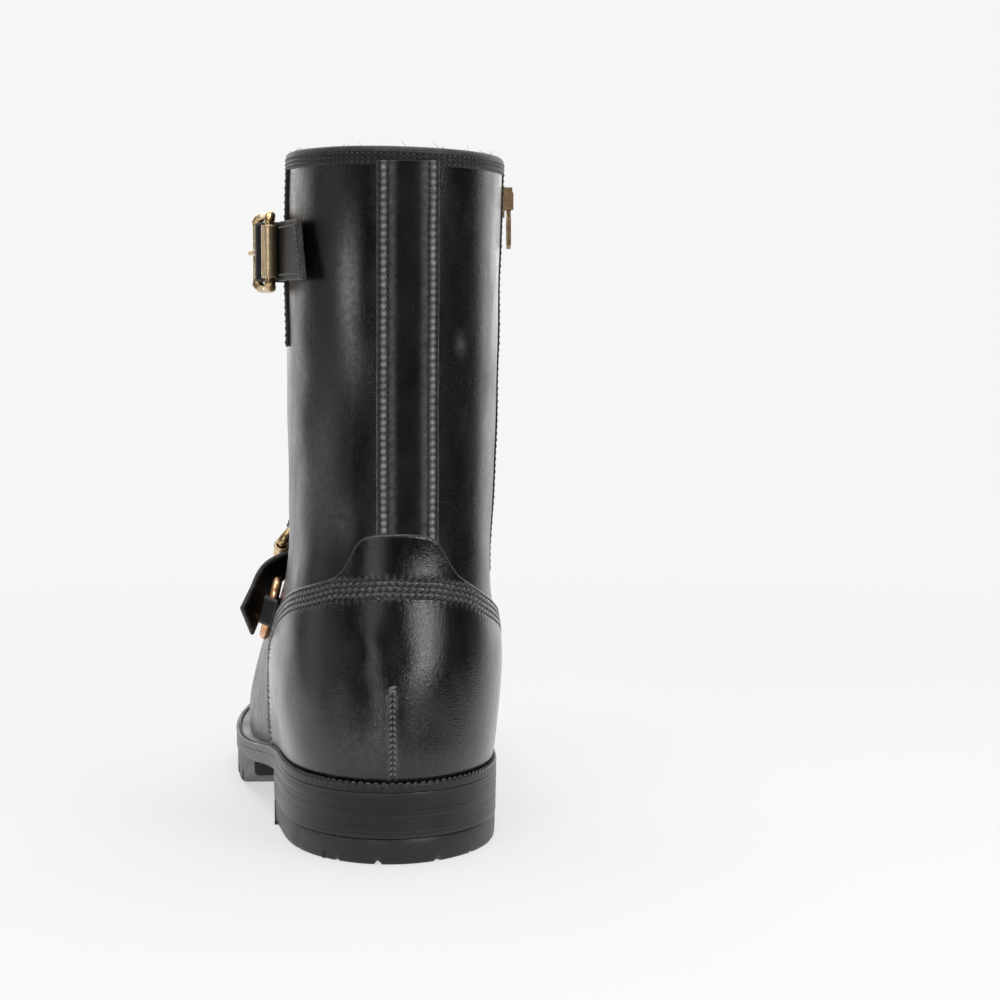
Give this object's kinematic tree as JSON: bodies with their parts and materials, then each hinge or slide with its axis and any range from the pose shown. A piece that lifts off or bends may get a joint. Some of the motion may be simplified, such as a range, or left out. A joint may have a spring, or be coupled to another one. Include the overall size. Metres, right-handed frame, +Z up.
{
  "type": "engineer boot",
  "caption": "Left black leather engineer boot with a stitched welt, lugged half sole, heel counter, side zip, buckled collar strap and buckled instep strap with a harness ring",
  "frame": {"origin": "the middle of the heel's flat tread, on the floor", "axes": "+Y from the heel towards the toe, +X towards the inner side of the foot where the zip is, +Z up"},
  "size_m": [0.1068, 0.2952, 0.2513],
  "materials": {
    "upper": "black polished calf leather",
    "counter": "black polished calf leather",
    "collar_strap": "black polished calf leather",
    "collar_tab": "black polished calf leather",
    "instep_strap": "black polished calf leather",
    "instep_tab": "black polished calf leather",
    "ring_tab": "black polished calf leather",
    "welt": "black waxed sole leather",
    "midsole": "black waxed sole leather",
    "heel_stack": "black waxed sole leather",
    "half_sole": "black lugged rubber",
    "heel_lift": "black lugged rubber",
    "insole": "natural leather",
    "zip_chain": "black tape with dark metal teeth",
    "collar_buckle_frame": "antique brass",
    "collar_buckle_prong": "antique brass",
    "collar_buckle_roller": "antique brass",
    "harness_ring": "antique brass",
    "instep_buckle_frame": "antique brass",
    "instep_buckle_prong": "antique brass",
    "instep_buckle_roller": "antique brass",
    "zip_pull": "antique brass",
    "zip_slider": "antique brass"
  },
  "bodies": {
    "boot": {"upper": "upper", "counter": "counter", "collar_strap": "collar_strap", "collar_tab": "collar_tab", "instep_strap": "instep_strap", "instep_tab": "instep_tab", "ring_tab": "ring_tab", "welt": "welt", "midsole": "midsole", "heel_stack": "heel_stack", "half_sole": "half_sole", "heel_lift": "heel_lift", "insole": "insole", "zip_chain": "zip_chain", "collar_buckle_frame": "collar_buckle_frame", "collar_buckle_prong": "collar_buckle_prong", "collar_buckle_roller": "collar_buckle_roller", "harness_ring": "harness_ring", "instep_buckle_frame": "instep_buckle_frame", "instep_buckle_prong": "instep_buckle_prong", "instep_buckle_roller": "instep_buckle_roller", "zip_slider": "zip_slider"},
    "pull": {"zip_pull": "zip_pull"}
  },
  "joints": [
    {"name": "zip_pull_hinge", "type": "hinge", "parent": "boot", "child": "pull", "pos_m": [0.04968, 0.037, 0.2334], "axis": [0, -1, 0], "range_deg": [0, 140]}
  ]
}
